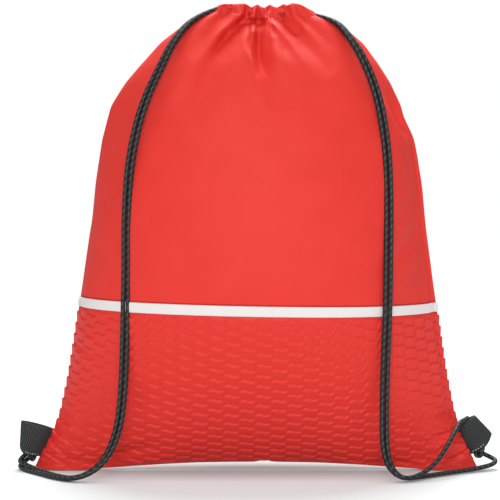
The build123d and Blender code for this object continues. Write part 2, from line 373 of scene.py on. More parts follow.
def spline_sample(grid, rows, columns):
    """Smooth samples of a grid at fractional row and column numbers."""
    padded = grid
    for axis in (0, 1):
        first, second, before, last = (np.take(padded, [k], axis) for k in (0, 1, -2, -1))
        padded = np.concatenate([2 * first - second, padded, 2 * last - before], axis)
    row_base = np.clip(np.floor(rows).astype(int), 0, grid.shape[0] - 2)
    column_base = np.clip(np.floor(columns).astype(int), 0, grid.shape[1] - 2)

    def weights(t):
        return [(1 - t) ** 3 / 6, (3 * t**3 - 6 * t**2 + 4) / 6,
                (-3 * t**3 + 3 * t**2 + 3 * t + 1) / 6, t**3 / 6]

    row_weights = weights(rows - row_base)
    column_weights = weights(columns - column_base)
    total = 0
    for a in range(4):
        for b in range(4):
            weight = row_weights[a] * column_weights[b]
            row = np.minimum(row_base + a, padded.shape[0] - 1)
            column = np.minimum(column_base + b, padded.shape[1] - 1)
            total = total + weight[..., None] * padded[row, column]
    return total


def grid_normals(points, side):
    """Directions out of the bag at every point of a grid."""
    out = np.cross(np.gradient(points, axis=1), np.gradient(points, axis=0)) * -side
    return out / (np.sqrt((out**2).sum(-1))[..., None] + 1e-12)


def quads(rows, columns, first=0, wrap=False):
    """The faces of a grid of points, as an array of four corners each."""
    number = first + np.arange(rows * columns).reshape(rows, columns)
    if wrap:
        number = np.concatenate([number, number[:, :1]], 1)
    corners = [number[:-1, :-1], number[:-1, 1:], number[1:, 1:], number[1:, :-1]]
    return np.stack([c.ravel() for c in corners], 1)


def add_object(name, data):
    """An object in the scene that shows a mesh, a light or a camera."""
    thing = bpy.data.objects.new(name, data)
    bpy.context.scene.collection.objects.link(thing)
    return thing


def add_mesh(name, points, faces, material, uv=None, tone=None):
    """A smooth-shaded mesh object, with flat cloth sizes as its UV map."""
    mesh = bpy.data.meshes.new(name)
    mesh.from_pydata(points.reshape(-1, 3).tolist(), [], faces)
    mesh.shade_smooth()
    corner = np.empty(len(mesh.loops), dtype=np.int32)
    mesh.loops.foreach_get("vertex_index", corner)
    if uv is not None:
        layer = mesh.uv_layers.new(name="flat")
        layer.data.foreach_set("uv", uv.reshape(-1, 2)[corner].astype(np.float32).ravel())
    if tone is not None:
        colour = np.ones((len(mesh.vertices), 4), dtype=np.float32)
        colour[:, :3] = tone.reshape(-1, 1)
        layer = mesh.color_attributes.new(name="tone", type="FLOAT_COLOR", domain="POINT")
        layer.data.foreach_set("color", colour.ravel())
    mesh.materials.append(material)
    return add_object(name, mesh)


def two_layers(outer, inner, uv, side):
    """Points, faces and UVs of a sheet with two faces and a closed rim."""
    rows, columns = outer.shape[:2]
    count = rows * columns
    front = quads(rows, columns)
    back = quads(rows, columns, count)[:, ::-1]
    number = np.arange(count).reshape(rows, columns)
    rim = np.concatenate([number[0], number[1:, -1], number[-1, -2::-1], number[-2:0:-1, 0]])
    after = np.roll(rim, -1)
    edge = np.stack([rim, rim + count, after + count, after], 1)
    faces = np.concatenate([front, back, edge])
    if side > 0:
        faces = faces[:, ::-1]
    points = np.concatenate([outer.reshape(-1, 3), inner.reshape(-1, 3)])
    return points, faces, np.concatenate([uv, uv])


def cloth_patch(
    name, grid, side, low, high, size, material, lift=0.0, thick=CLOTH, relief=None
):
    """A piece of cloth cut from one side of the pouch, between two heights.

    low and high give the share of the flat height for each share of the width.
    """
    rows, columns = size
    across = np.repeat(np.linspace(0, 1, columns + 1)[None, :], rows + 1, 0)
    share = np.linspace(0, 1, rows + 1)[:, None]
    up = low(across) * (1 - share) + high(across) * share
    points = spline_sample(grid, up * ROWS, across * COLUMNS)
    hold = np.clip(np.minimum(across, 1 - across) / 0.02, 0, 1) * np.clip(up / 0.01, 0, 1)
    points = press_folds(points, side, hold)
    out = grid_normals(points, side)
    flat_x = across * FLAT_WIDE
    flat_y = up * TALL
    outer = points + out * lift
    if relief is not None:
        outer = outer + out * relief(flat_x, flat_y, across, share)[..., None]
    inner = points + out * (lift - thick)
    uv = np.stack([flat_x, flat_y], -1).reshape(-1, 2)
    flat_points, faces, both_uv = two_layers(outer, inner, uv, side)
    return add_mesh(name, flat_points, faces.tolist(), material, both_uv)


# ---- materials


def new_material(name, colour, roughness, sheen=0.0, specular=0.3):
    """A principled material and its shader node."""
    material = bpy.data.materials.new(name)
    material.use_nodes = True
    shader = material.node_tree.nodes["Principled BSDF"]
    shader.inputs["Base Color"].default_value = (*colour, 1)
    shader.inputs["Roughness"].default_value = roughness
    shader.inputs["Specular IOR Level"].default_value = specular
    shader.inputs["Sheen Weight"].default_value = sheen
    shader.inputs["Sheen Roughness"].default_value = 0.4
    return material, shader


def add_weave(material, shader, period, strength, distance, angles=(45,)):
    """Fine diagonal threads as a bump, from the flat cloth sizes."""
    new, link = material.node_tree.nodes.new, material.node_tree.links.new
    coordinates = new("ShaderNodeUVMap")
    coordinates.uv_map = "flat"
    heights = []
    for angle in angles:
        turn = new("ShaderNodeMapping")
        turn.inputs["Rotation"].default_value = (0, 0, math.radians(angle))
        link(coordinates.outputs["UV"], turn.inputs["Vector"])
        wave = new("ShaderNodeTexWave")
        wave.inputs["Scale"].default_value = math.pi / 10 / period
        wave.inputs["Distortion"].default_value = 0.0
        link(turn.outputs["Vector"], wave.inputs["Vector"])
        heights.append(wave.outputs["Fac"])
    height = heights[0]
    if len(heights) > 1:
        mix = new("ShaderNodeMath")
        mix.operation = "MAXIMUM"
        link(heights[0], mix.inputs[0])
        link(heights[1], mix.inputs[1])
        height = mix.outputs[0]
    bump = new("ShaderNodeBump")
    bump.inputs["Strength"].default_value = strength
    bump.inputs["Distance"].default_value = distance
    link(height, bump.inputs["Height"])
    link(bump.outputs["Normal"], shader.inputs["Normal"])


def add_mottle(material, shader, low, high, scale):
    """A faint uneven dye over the colour."""
    new, link = material.node_tree.nodes.new, material.node_tree.links.new
    coordinates = new("ShaderNodeTexCoord")
    noise = new("ShaderNodeTexNoise")
    noise.inputs["Scale"].default_value = scale
    noise.inputs["Detail"].default_value = 3
    link(coordinates.outputs["Object"], noise.inputs["Vector"])
    ramp = new("ShaderNodeValToRGB")
    for stop, position, colour in zip(ramp.color_ramp.elements, (0.35, 0.65), (low, high)):
        stop.position = position
        stop.color = (*colour, 1)
    link(noise.outputs["Fac"], ramp.inputs["Fac"])
    link(ramp.outputs["Color"], shader.inputs["Base Color"])


red_cloth, red_shader = new_material("red polyester", (0.64, 0.030, 0.022), 0.6, 0.0, 0.22)
add_weave(red_cloth, red_shader, 0.0011, 0.35, 0.0002)
add_mottle(red_cloth, red_shader, (0.63, 0.029, 0.021), (0.655, 0.031, 0.023), 40)
embossed_cloth, embossed_shader = new_material(
    "embossed red polyester", (0.63, 0.026, 0.019), 0.52, 0.0, 0.25
)
add_weave(embossed_cloth, embossed_shader, 0.0009, 0.25, 0.00015)
white_tape, white_shader = new_material("white tape", (0.67, 0.62, 0.61), 0.65, 0.1)
add_weave(white_tape, white_shader, 0.0010, 0.4, 0.0002, (0, 90))
red_thread, _ = new_material("dark red thread", (0.25, 0.008, 0.010), 0.6)
pale_thread, _ = new_material("pale thread", (0.62, 0.62, 0.62), 0.6)
black_ribbon, ribbon_shader = new_material("black grosgrain", (0.011, 0.011, 0.012), 0.65, 0.05)
black_cord, cord_shader = new_material("black braided cord", (0.02, 0.02, 0.02), 0.5)
# the ribbon and the cord take their colour from their tone vertex colours, which carry painted
# highlights on rib and yarn crowns
for material, shader in ((black_ribbon, ribbon_shader), (black_cord, cord_shader)):
    tone_node = material.node_tree.nodes.new("ShaderNodeVertexColor")
    tone_node.layer_name = "tone"
    material.node_tree.links.new(tone_node.outputs["Color"], shader.inputs["Base Color"])

# ---- the cloth panels

EMBOSS_WIDE = 0.0129            # one column of waves
EMBOSS_TALL = 0.0091            # one wave
EMBOSS_DEEP = 0.0014
RISE_SHARE = 0.14               # the steep part of each wave
RELIEF_TOP = 0.955              # share of the panel's height where the waves end
TRIM_TALL = 0.0084
TRIM_HIGH = 0.14175             # height of the tape's upper edge at its ends
TRIM_BOW = 0.0009
TRIM_HALF = 0.145
TRIM_SLOPE = 0.0183             # how much the tape falls to the right
TRIM_OVERLAP = 0.004            # how far the panels' joint lies under it, as a share


def trim_line():
    """Shares of the flat height where the tape's upper edge lies, column by column."""
    shares = np.linspace(0.2, 0.6, 300)
    columns = np.arange(COLUMNS + 1)
    rows = np.repeat(shares[:, None] * ROWS, COLUMNS + 1, 1)
    places = spline_sample(front_grid, rows, np.repeat(columns[None, :] * 1.0, len(shares), 0))
    found = []
    for k in columns:
        x = places[:, k, 0]
        wanted = TRIM_HIGH + TRIM_BOW * (1 - (x / TRIM_HALF) ** 2) - TRIM_SLOPE * x
        found.append(np.interp(0, places[:, k, 2] - wanted, shares))
    found = np.array(found)
    kernel = np.hanning(7) / np.hanning(7).sum()
    return np.convolve(np.pad(found, 3, mode="edge"), kernel, "valid")


TRIM_LINE = trim_line()


def trim_top(across):
    """Share of the flat height at the trim tape's upper edge."""
    return np.interp(across * COLUMNS, np.arange(COLUMNS + 1), TRIM_LINE)


def trim_bottom(across):
    """Share of the flat height at the tape's lower edge, a little narrower at the seams."""
    tall = TRIM_TALL * (1 - 0.14 * (2 * across - 1) ** 4)
    return trim_top(across) - tall / TALL


def panel_joint(across):
    """Share of the flat height where the two front panels meet, under the tape."""
    return trim_top(across) - TRIM_OVERLAP


def even(share):
    """The same share of the flat height all the way across."""
    return lambda across: np.full_like(across, share)


def waves(flat_x, flat_y, across, share):
    """The embossed waves: each column is half a wave out of step with the next."""
    column = np.floor(flat_x / EMBOSS_WIDE)
    inside = flat_x / EMBOSS_WIDE - column
    curl = 0.075 * np.sin(2 * math.pi * inside)
    curl += 0.10 * np.exp(-(1 - inside) / 0.06) - 0.10 * np.exp(-inside / 0.06)
    down = -flat_y / EMBOSS_TALL + 0.5 * (column % 2) + curl
    fall = down - np.floor(down)
    rise = np.clip(fall / RISE_SHARE, 0, 1)
    rise = rise * rise * (3 - 2 * rise)
    step = rise * (1 - 0.95 * np.clip((fall - RISE_SHARE) / 0.86, 0, 1))
    edge = np.clip(np.minimum(inside, 1 - inside) / 0.05, 0, 1)
    rim = np.clip(np.minimum(across, 1 - across) / 0.005, 0, 1)
    rim = rim * np.clip((RELIEF_TOP - share) / 0.02, 0, 1) * np.clip(share / 0.04, 0, 1)
    return EMBOSS_DEEP * step * (0.55 + 0.45 * edge) * rim


front_lower = cloth_patch(
    "pouch_front_lower", front_grid, -1, even(0.0), panel_joint,
    (260, 470), embossed_cloth, relief=waves,
)
front_upper = cloth_patch(
    "pouch_front_upper", front_grid, -1, panel_joint, even(1.0), (200, 240), red_cloth,
)
back = cloth_patch("pouch_back", back_grid, 1, even(0.0), even(1.0), (260, 240), red_cloth)


def tape_crown(flat_x, flat_y, across, share):
    """The tape is a little rounded towards its long edges."""
    return -0.0003 * np.abs(2 * share - 1) ** 6


trim = cloth_patch(
    "trim_band", front_grid, -1, trim_bottom, trim_top, (14, 260), white_tape,
    lift=0.0011, thick=0.0009, relief=tape_crown,
)


# a thread dash's rings: place along it as a share, and width
DASH_RINGS = ((-0.5, 0.35), (-0.3, 1), (0.3, 1), (0.5, 0.35))
DASH_SIDES = 6


def dash_walls(first):
    """The faces between the rings of the dash whose points start at first."""
    walls = []
    for ring in range(len(DASH_RINGS) - 1):
        for turn in range(DASH_SIDES):
            a = first + ring * DASH_SIDES + turn
            b = first + ring * DASH_SIDES + (turn + 1) % DASH_SIDES
            walls.append((a, b, b + DASH_SIDES, a + DASH_SIDES))
    return walls


def stitch_row(name, grid, side, line, start, end, pitch, length, radius, lift, material):
    """A row of short thread dashes along a line across the cloth."""
    fine = np.linspace(start, end, 1200)
    rows = line(fine) * ROWS
    path = spline_sample(grid, rows[None, :], fine[None, :] * COLUMNS)[0]
    above = spline_sample(grid, rows[None, :] + 0.3, fine[None, :] * COLUMNS)[0]
    along = unit(np.gradient(path, axis=0))
    out = unit(np.cross(along, above - path) * -side)
    travelled = distances(path)
    points = []
    faces = []
    for place in np.arange(pitch, travelled[-1] - pitch, pitch):
        centre = np.array([np.interp(place, travelled, path[:, k]) for k in range(3)])
        index = int(np.searchsorted(travelled, place))
        forward, normal = along[index], out[index]
        sideways = np.cross(normal, forward)
        first = len(points)
        for shift, width in DASH_RINGS:
            spot = centre + normal * lift + forward * shift * length
            for turn in range(DASH_SIDES):
                angle = turn * math.pi / 3
                ring = math.cos(angle) * sideways + math.sin(angle) * normal
                points.append(spot + ring * radius * width)
        faces += dash_walls(first)
        last = first + (len(DASH_RINGS) - 1) * DASH_SIDES
        faces += [tuple(first + k for k in (0, 5, 4, 3)), tuple(first + k for k in (0, 3, 2, 1))]
        faces += [tuple(last + k for k in (0, 1, 2, 3)), tuple(last + k for k in (0, 3, 4, 5))]
    return add_mesh(name, np.array(points), faces, material)


trim_dashes = stitch_row(
    "trim_dashes", front_grid, -1, lambda a: trim_top(a) + 0.0009 / TALL, start=0.01, end=0.99,
    pitch=0.0031, length=0.0021, radius=0.00032, lift=0.0001, material=red_thread,
)

# ---- the gathered casing

# height of the casing's upper edge along x
FRONT_EDGE = np.array([
    (-0.036, 0.3862), (-0.03, 0.3868), (-0.022, 0.3866), (-0.014, 0.3868), (-0.0085, 0.3855),
    (-0.0055, 0.3812), (-0.002, 0.3838), (0.004, 0.3843), (0.0085, 0.3828), (0.0098, 0.38),
    (0.0125, 0.3832), (0.017, 0.3844), (0.0225, 0.383), (0.0245, 0.3824), (0.028, 0.385),
    (0.034, 0.3874), (0.04, 0.3868), (0.046, 0.3842), (0.052, 0.3812),
])
BACK_EDGE = np.array([
    (-0.036, 0.385), (-0.028, 0.3866), (-0.02, 0.3835), (-0.013, 0.3868), (-0.006, 0.3845),
    (0.000, 0.3872), (0.006, 0.3835), (0.012, 0.387), (0.019, 0.384), (0.026, 0.3875),
    (0.033, 0.3842), (0.04, 0.386), (0.046, 0.383), (0.052, 0.378),
])
# the casing's cross-section: size against the cloth below, and share of its height
CASING_SECTION = [
    (1.0, -0.02), (0.965, 0.1), (0.91, 0.3), (0.86, 0.52), (0.81, 0.72), (0.76, 0.88),
    (0.7, 0.98), (0.64, 1.0), (0.57, 0.95), (0.51, 0.8), (0.47, 0.5), (0.45, 0.1), (0.45, -0.4),
]
CASING_COLUMNS = 420
CASING_ROWS = 40
CASING_FLAT = (0.35, 0.035)     # flat size, for the weave


def smooth_line(points, count):
    """A smooth run of points through a few given ones."""
    array = np.array(points, float)[:, None, :]
    array = np.concatenate([array, array], 1)
    at = np.linspace(0, len(points) - 1, count)
    return spline_sample(array, at[:, None], np.zeros((count, 1)))[:, 0]


def make_casing(name, grid, side, edge, creases):
    """The bunched cloth tunnel on one side of the mouth."""
    across = np.linspace(0, COLUMNS, CASING_COLUMNS + 1)[None, :]
    foot = spline_sample(grid, np.full_like(across, ROWS), across)
    seam = np.clip(np.minimum(across, COLUMNS - across) / (0.02 * COLUMNS), 0, 1)
    foot = press_folds(foot, side, seam)[0]
    section = smooth_line(CASING_SECTION, CASING_ROWS)
    top = np.interp(foot[:, 0], edge[:, 0], edge[:, 1])
    kernel = np.hanning(13) / np.hanning(13).sum()
    top = np.convolve(np.pad(top, 6, mode="edge"), kernel, "valid")
    pulled = crease_depth(foot[:, 0], creases)
    seam = np.clip(np.minimum(across[0], COLUMNS - across[0]) / 9, 0, 1) ** 0.5
    points = np.zeros((len(section), CASING_COLUMNS + 1, 3))
    for k, (size, share) in enumerate(section):
        x = MOUTH_X + (foot[:, 0] - MOUTH_X) * (1 + (size - 1) * 0.45)
        deep = foot[:, 1] * size
        extra = pulled * 0.55 * np.clip(share, 0, 1) ** 0.7 * seam
        pucker = 0.0006 * np.sin(foot[:, 0] * 900 + 3 * share)
        pucker = pucker * np.clip(share * 3, 0, 1) * seam
        points[k, :, 0] = x
        points[k, :, 1] = deep - side * (extra + pucker)
        inner = np.maximum(cord_room(x) * (share < 0.6), 0.0008 * seam)
        points[k, :, 1] = side * np.maximum(side * points[k, :, 1], inner)
        points[k, :, 2] = foot[:, 2] + (top - foot[:, 2]) * share
    flat_wide, flat_tall = CASING_FLAT
    uv_x = np.linspace(0, flat_wide, CASING_COLUMNS + 1)
    uv = np.stack(np.meshgrid(uv_x, np.linspace(0, flat_tall, len(section))), -1)
    faces = quads(len(section), CASING_COLUMNS + 1)
    if side > 0:
        faces = faces[:, ::-1]
    return add_mesh(name, points, faces.tolist(), red_cloth, uv)


casing_front = make_casing("casing_front", front_grid, -1, FRONT_EDGE, FRONT_CREASES)
casing_back = make_casing("casing_back", back_grid, 1, BACK_EDGE, BACK_CREASES)

# ---- braided cords

LEFT_EXIT = Vector((-0.036, 0, 0.3842))
RIGHT_EXIT = Vector((0.052, 0, 0.3788))
LEFT_KNOT = Vector((-0.188, 0, 0.0102))
RIGHT_KNOT = Vector((0.188, 0, 0.0102))
START_DEPTH = 0.0055            # how far a strand reaches into the casing
START_DROP = 0.0012
YARNS = 8                       # carriers in each direction
YARN_STEP = 0.00145             # along the cord, from one yarn to the next
YARN_HIGH = 0.00042
DARK_TONE = 0.005
PALE_YARN_HIGHLIGHT = 0.10                # one yarn in four is lighter, its lightness laid on its crown as a painted highlight
END_TONE = 0.02
SMOOTH_OVER = 9                 # samples that a cord's direction is averaged over


def read_route(name, points):
    """The smooth route through a cord's points, as closely spaced points."""
    curve = bpy.data.curves.new(name + "_route", "CURVE")
    curve.dimensions = "3D"
    curve.resolution_u = 16
    spline = curve.splines.new("NURBS")
    spline.points.add(len(points) - 1)
    for target, point in zip(spline.points, points):
        target.co = (*point, 1)
    spline.order_u = 3
    spline.use_endpoint_u = True
    holder = bpy.data.objects.new(name + "_route", curve)
    mesh = bpy.data.meshes.new_from_object(holder)
    path = np.array([tuple(v.co) for v in mesh.vertices])
    bpy.data.meshes.remove(mesh)
    bpy.data.objects.remove(holder)
    bpy.data.curves.remove(curve)
    return path


def braid(name, path, radius=CORD_R, step=0.00036, around=40):
    """A braided cord along a path: yarns that pass over two and under two."""
    travelled = distances(path)
    count = int(travelled[-1] / step)
    at = np.linspace(0, travelled[-1], count + 1)
    line = points_at(at, travelled, path)
    forward = unit(np.gradient(line, axis=0))
    smooth = np.hanning(SMOOTH_OVER)[:, None] / np.hanning(SMOOTH_OVER).sum()
    ends = SMOOTH_OVER // 2
    padded = np.pad(forward, ((ends, ends), (0, 0)), mode="edge")
    forward = unit(sum(padded[k:k + count + 1] * smooth[k] for k in range(SMOOTH_OVER)))
    side = np.cross(forward[0], (0.0, 0.0, 1.0))
    if np.linalg.norm(side) < 0.1:
        side = np.cross(forward[0], (0.0, 1.0, 0.0))
    sides = []
    for direction in forward:
        side = side - direction * side.dot(direction)
        side = side / np.linalg.norm(side)
        sides.append(side)
    sides = np.array(sides)
    ups = np.cross(forward, sides)
    turn = np.linspace(0, 2 * math.pi, around, endpoint=False)
    one = YARNS * turn[None, :] / (2 * math.pi) + at[:, None] / YARN_STEP
    two = YARNS * turn[None, :] / (2 * math.pi) - at[:, None] / YARN_STEP
    over = (np.floor(one) - np.floor(two)) % 4 < 2
    top = np.where(over, one, two)
    cross = np.where(over, two, one)
    across_yarn = 2 * (top - np.floor(top)) - 1
    crown = np.sqrt(np.clip(1 - 0.9 * across_yarn**2, 0, 1))
    middle = 1 - 0.25 * np.abs(2 * (cross - np.floor(cross)) - 1) ** 2
    height = crown * middle
    reach = radius - YARN_HIGH + YARN_HIGH * height
    ring = np.cos(turn)[None, :, None] * sides[:, None, :]
    ring = ring + np.sin(turn)[None, :, None] * ups[:, None, :]
    points = line[:, None, :] + ring * reach[..., None]
    # each yarn's crown is lightened as a painted highlight, far more on every fourth yarn
    yarn_highlight = np.where(np.floor(top) % 4 == 1, PALE_YARN_HIGHLIGHT, DARK_TONE)
    tone = DARK_TONE + yarn_highlight * height**3
    faces = quads(count + 1, around, wrap=True)[:, ::-1].tolist()
    total = (count + 1) * around
    everything = np.concatenate([points.reshape(-1, 3), [line[0], line[-1]]])
    tones = np.concatenate([tone.ravel(), [END_TONE, END_TONE]])
    last = count * around
    faces += [[(k + 1) % around, k, total] for k in range(around)]
    faces += [[last + k, last + (k + 1) % around, total + 1] for k in range(around)]
    return add_mesh(name, everything, faces, black_cord, None, tones)


def beside(centres, sides, sign):
    """Shifts a doubled cord's middle line to one of its two strands."""
    shifted = []
    for index, here in enumerate(centres):
        before = centres[max(index - 1, 0)]
        after = centres[min(index + 1, len(centres) - 1)]
        along = (after - before).normalized()
        side = Vector(sides[index])
        side = (side - along * side.dot(along)).normalized()
        shifted.append(here + side * (sign * SIDE_STEP))
    return shifted


def strap_start(exit_point):
    """A strap's upper end, a little way inside the casing."""
    inwards = 1 if exit_point.x < MOUTH_X else -1
    return exit_point + Vector((inwards * START_DEPTH, 0, -START_DROP))


# each strap's middle line, and which way its outer strand lies from there
LEFT_ROUTE = [
    (-0.049, -0.004, 0.3775, -0.2, 0.9, 0), (-0.066, -0.0195, 0.359, -0.6, 0.7, 0),
    (-0.077, -0.033, 0.336, -0.85, 0.45, 0), (-0.092, -0.046, 0.303, -0.95, 0.3, 0),
    (-0.102, -0.0475, 0.261, -1, 0.15, 0), (-0.1052, -0.0485, 0.214, -1, 0.15, 0),
    (-0.105, -0.0515, 0.168, -1, 0.15, 0), (-0.1062, -0.0515, 0.12, -1, 0.15, 0),
    (-0.1076, -0.051, 0.076, -1, 0.2, 0), (-0.111, -0.0545, 0.042, -1, 0.4, 0),
    (-0.12, -0.062, 0.019, -0.7, 0.8, 0.2), (-0.133, -0.0685, 0.007, -0.3, 0.95, 0.1),
    (-0.148, -0.07, 0.0023, 0, 1, 0), (-0.163, -0.055, 0.0022, 0.5, 0.9, 0),
    (-0.177, -0.034, 0.0022, 0.7, 0.7, 0.2), (-0.1895, -0.017, 0.003, 0.3, 0.4, 0.8),
    (-0.1945, -0.0105, 0.0042, 0, 0.1, 1), (-0.197, -0.004, 0.0046, 0, 0, 1),
    (-0.1968, 0.0013, 0.0055, 0, 0, 1), (-0.194, 0.0033, 0.008, 0, 0, 1),
    (-0.1895, 0.0008, 0.0115, 0, 0, 1),
]
RIGHT_ROUTE = [
    (0.064, -0.0055, 0.3745, 0.2, 0.9, 0), (0.076, -0.017, 0.3605, 0.6, 0.7, 0),
    (0.088, -0.0285, 0.341, 0.85, 0.45, 0), (0.0995, -0.036, 0.311, 0.95, 0.3, 0),
    (0.1062, -0.039, 0.272, 1, 0.15, 0), (0.1078, -0.046, 0.228, 1, 0.15, 0),
    (0.1072, -0.0515, 0.183, 1, 0.15, 0), (0.1066, -0.0535, 0.138, 1, 0.15, 0),
    (0.1048, -0.0525, 0.09, 1, 0.15, 0), (0.104, -0.054, 0.05, 1, 0.2, 0),
    (0.1043, -0.058, 0.025, 1, 0.4, 0), (0.108, -0.065, 0.0105, 0.7, 0.8, 0.2),
]
# the right strap's strands part on the floor: one climbs into the ribbon loop
CLIMBING_END = [
    (0.118, -0.0735, 0.0026), (0.133, -0.065, 0.0045), (0.147, -0.055, 0.0135),
    (0.1575, -0.042, 0.027), (0.1648, -0.028, 0.0372), (0.17, -0.014, 0.0425),
    (0.1775, 0.0, 0.0418),
]
LYING_END = [
    (0.118, -0.069, 0.0022), (0.133, -0.058, 0.0022), (0.149, -0.0435, 0.0022),
    (0.166, -0.029, 0.0022), (0.182, -0.018, 0.0026), (0.194, -0.011, 0.0042),
    (0.199, -0.006, 0.0056), (0.2002, -0.0012, 0.007), (0.1988, 0.0026, 0.008),
    (0.195, 0.0036, 0.0098), (0.19, 0.0012, 0.0125),
]


def strap_lines(exit_point, route):
    """The two strands' control points from a strap's middle line."""
    centres = [strap_start(exit_point)] + [Vector(row[:3]) for row in route]
    sides = [(0, 1, 0)] + [row[3:] for row in route]
    return beside(centres, sides, 1), beside(centres, sides, -1)


left_outer_line, left_inner_line = strap_lines(LEFT_EXIT, LEFT_ROUTE)
right_outer_line, right_inner_line = strap_lines(RIGHT_EXIT, RIGHT_ROUTE)
right_outer_line += [Vector(point) for point in LYING_END]
right_inner_line += [Vector(point) for point in CLIMBING_END]

# name, body, control points, exit, length, far end
STRANDS = [
    ("left_strap_outer_strand", "left_strap", left_outer_line, LEFT_EXIT, 0.534, "knot"),
    ("left_strap_inner_strand", "left_strap", left_inner_line, LEFT_EXIT, 0.539, "knot"),
    ("right_strap_outer_strand", "right_strap", right_outer_line, RIGHT_EXIT, 0.533, "knot"),
    ("right_strap_inner_strand", "right_strap", right_inner_line, RIGHT_EXIT, 0.5235, "object"),
]
for name, body, points, exit_point, length, far_end in STRANDS:
    path = read_route(name, points)
    strand = braid(name + "_braid", path)
    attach(strand, body)
    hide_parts(name)


def channel_route(height, direction):
    """Into one end of the casing, round the mouth and back beside itself."""
    half = [
        (0.0415, 0.0021), (0.031, 0.0062), (0.017, 0.0108), (0, 0.0129), (-0.017, 0.0116),
        (-0.029, 0.008),
    ]
    far = [(-0.036, 0.0036), (-0.036, -0.0036)]
    plan = half + far + [(x, -y) for x, y in reversed(half)]
    return [(MOUTH_X + direction * x * 0.97, y * 0.40, height) for x, y in plan]


for name, height, direction in (("left", 0.3775, -1), ("right", 0.3728, 1)):
    path = read_route(name + "_channel", channel_route(height, direction))
    cord = braid(name + "_channel_braid", path, TIGHT_R)
    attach(cord, "bag")
    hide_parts(name + "_channel_cord")


def knot_path(centre, size, turn):
    """A tight overhand knot's closed line."""
    t = np.linspace(0, 2 * math.pi, 220)
    x = np.sin(t) + 2 * np.sin(2 * t)
    y = np.cos(t) - 2 * np.cos(2 * t)
    z = -np.sin(3 * t) * 1.15
    line = np.stack([x, z, y], 1) * size
    cos, sin = math.cos(math.radians(turn)), math.sin(math.radians(turn))
    spin = np.array([[cos, -sin, 0], [sin, cos, 0], [0, 0, 1]])
    return line @ spin.T + np.array(centre)


def axis_point(top, bottom, height):
    """The point at a height on the line that a strap turns about."""
    share = (top.z - height) / (top.z - bottom.z)
    return top + (bottom - top) * share


# side, ends of the line that the strap turns about, height of the loop cord's top,
# and the knot's turn, size and height
KNOTS = [
    ("left", LEFT_EXIT, LEFT_KNOT, 0.032, 25, 0.0019, 0.0135),
    ("right", RIGHT_EXIT, RIGHT_KNOT, 0.0437, -35, 0.0015, 0.0150),
]
for name, top, bottom, high, turn, knot_size, knot_high in KNOTS:
    middle = axis_point(top, bottom, knot_high)
    knot = braid(name + "_knot_braid", knot_path(middle, knot_size, turn), TIGHT_R)
    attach(knot, "bag")
    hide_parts(name + "_cord_knot")
    end = axis_point(top, bottom, high)
    run = np.array([tuple(middle.lerp(end, share)) for share in np.linspace(0, 1, 30)])
    piece = braid(name + "_loop_braid", run)
    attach(piece, "bag")
    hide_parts(name + "_loop_cord")

# ---- ribbon loops

RIBBON_THICK = 0.0009
RIB_STEP = 0.0018
RIB_HIGH = 0.00022
RIB_TONE_AND_HIGHLIGHT = (0.006, 0.055)      # a groove's colour, and the painted highlight added on a rib's crown
# half of a loop seen along its width, in millimetres from the seam
LOOP_OUTLINE = [(0, 0.95), (4.5, 5.4), (11, 7.2), (18, 6.2), (22.4, 2.6), (23.5, 0)]
# each loop's seam end and outer end in the x-z plane: middle, and half its width upwards
LEFT_LOOP = (((-0.1752, 0.0222), (0.0062, 0.0114)), ((-0.1972, 0.0300), (0.0006, 0.0108)))
RIGHT_LOOP = (((0.1705, 0.0228), (-0.0076, 0.0108)), ((0.1902, 0.0376), (-0.0072, 0.0076)))
LOOP_REACH = 0.0235
LOBE = 0.0026                   # how far the lower edge of a loop bulges


def loop_place(frame_ends, along, across):
    """A point of a loop's plane: along from the seam outwards, across from -1 to 1."""
    (seam, seam_half), (tip, tip_half) = frame_ends
    share = along / LOOP_REACH
    half = [near + (far - near) * share for near, far in zip(seam_half, tip_half)]
    x = seam[0] + (tip[0] - seam[0]) * share + across * half[0]
    z = seam[1] + (tip[1] - seam[1]) * share + across * half[1]
    lobe = LOBE * np.sin(math.pi * np.clip(share, 0, 1)) * np.clip(-across, 0, 1) ** 2
    return x + lobe * np.sign(tip[0]), z - lobe


def ribbon_loop(name, frame_ends, outward):
    """A folded ribbon with fine ribs, both ends caught in the side seam."""
    upper = [(-3.5, 0.6)] + LOOP_OUTLINE
    outline = upper + [(x, -y) for x, y in reversed(upper[:-1])]
    line = smooth_line(outline, 420) / 1000
    travelled = distances(line)
    at = np.arange(0, travelled[-1], RIB_STEP / 5)
    line = points_at(at, travelled, line)
    along = unit(np.gradient(line, axis=0))
    out = np.stack([-along[:, 1], along[:, 0]], 1)
    across = np.linspace(-1, 1, 17)
    wave = np.cos(2 * math.pi * at / RIB_STEP)
    ribs = RIB_HIGH * wave
    groove, rib_highlight = RIB_TONE_AND_HIGHLIGHT
    # a rib's crown is lightened as a painted highlight
    tone = np.repeat((groove + rib_highlight * (0.5 + 0.5 * wave) ** 3)[:, None], len(across), 1)
    layers = []
    for offset, sign in ((0.0, 1), (-RIBBON_THICK, -1)):
        surface = np.zeros((len(at), len(across), 3))
        for k, place in enumerate(across):
            edge = 1 - abs(place) ** 10
            flat = line + out * (offset + sign * (ribs * edge - 0.00015 * (1 - edge)))[:, None]
            x, z = loop_place(frame_ends, flat[:, 0], place)
            surface[:, k, 0] = x
            surface[:, k, 1] = flat[:, 1] + 0.0006 * np.sin(at * 110 + place * 2.2)
            surface[:, k, 2] = z
        layers.append(surface)
    uv = np.zeros((len(at) * len(across), 2))
    points, faces, both_uv = two_layers(layers[0], layers[1], uv, outward)
    both_tones = np.concatenate([tone, tone]).ravel()
    return add_mesh(name, points, faces.tolist(), black_ribbon, both_uv, both_tones)


TACKS = 6
TACK_PITCH = 0.0022
TACK_LONG = 0.0012
TACK_R = 0.0003
TACK_ACROSS = -0.86             # near the loop's lower edge


